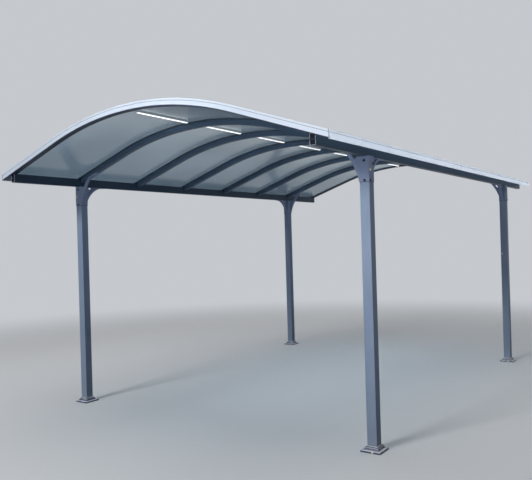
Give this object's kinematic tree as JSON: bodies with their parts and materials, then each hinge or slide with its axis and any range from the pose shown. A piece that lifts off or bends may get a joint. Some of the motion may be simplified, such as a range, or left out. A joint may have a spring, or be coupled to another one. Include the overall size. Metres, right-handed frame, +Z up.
{
  "type": "carport",
  "caption": "Free-standing single carport with an arched smoke-grey sheet roof on metal posts, beams and ribs, moulded foot covers and light bars under the crown.",
  "frame": {"origin": "on the ground under the middle of the roof", "axes": "+X to the right across the width, +Y along the length away from the entrance, +Z up"},
  "size_m": [3.08, 4.94, 2.3961],
  "materials": {
    "frame_paint": "satin powder coat",
    "edge_trim_paint": "pale satin powder coat",
    "smoke_sheet": "smoke-grey translucent sheet",
    "foot_cover_plastic": "moulded, satin",
    "galvanised_steel": "galvanised",
    "light_channel_metal": "satin anodised",
    "light_lens": "lit diffuser"
  },
  "bodies": {
    "root": {"front_left_post": "frame_paint", "front_left_foot_plate": "galvanised_steel", "front_left_foot_cover": "foot_cover_plastic", "front_left_head_bracket": "frame_paint", "front_right_post": "frame_paint", "front_right_foot_plate": "galvanised_steel", "front_right_foot_cover": "foot_cover_plastic", "front_right_head_bracket": "frame_paint", "rear_right_post": "frame_paint", "rear_right_foot_plate": "galvanised_steel", "rear_right_foot_cover": "foot_cover_plastic", "rear_right_head_bracket": "frame_paint", "rear_left_post": "frame_paint", "rear_left_foot_plate": "galvanised_steel", "rear_left_foot_cover": "foot_cover_plastic", "rear_left_head_bracket": "frame_paint", "left_eave_beam": "frame_paint", "left_eave_trim": "edge_trim_paint", "right_eave_beam": "frame_paint", "right_eave_trim": "edge_trim_paint", "front_arch_trim": "edge_trim_paint", "rear_arch_trim": "edge_trim_paint", "front_end_rib": "frame_paint", "rear_end_rib": "frame_paint", "roof_rib_1": "frame_paint", "roof_rib_2": "frame_paint", "roof_rib_3": "frame_paint", "roof_rib_4": "frame_paint", "roof_rib_5": "frame_paint", "roof_rib_6": "frame_paint", "clamp_strips": "frame_paint", "roof_sheet_1": "smoke_sheet", "roof_sheet_2": "smoke_sheet", "roof_sheet_3": "smoke_sheet", "roof_sheet_4": "smoke_sheet", "roof_sheet_5": "smoke_sheet", "roof_sheet_6": "smoke_sheet", "roof_sheet_7": "smoke_sheet", "light_channels": "light_channel_metal", "light_bars": "light_lens"}
  },
  "joints": []
}
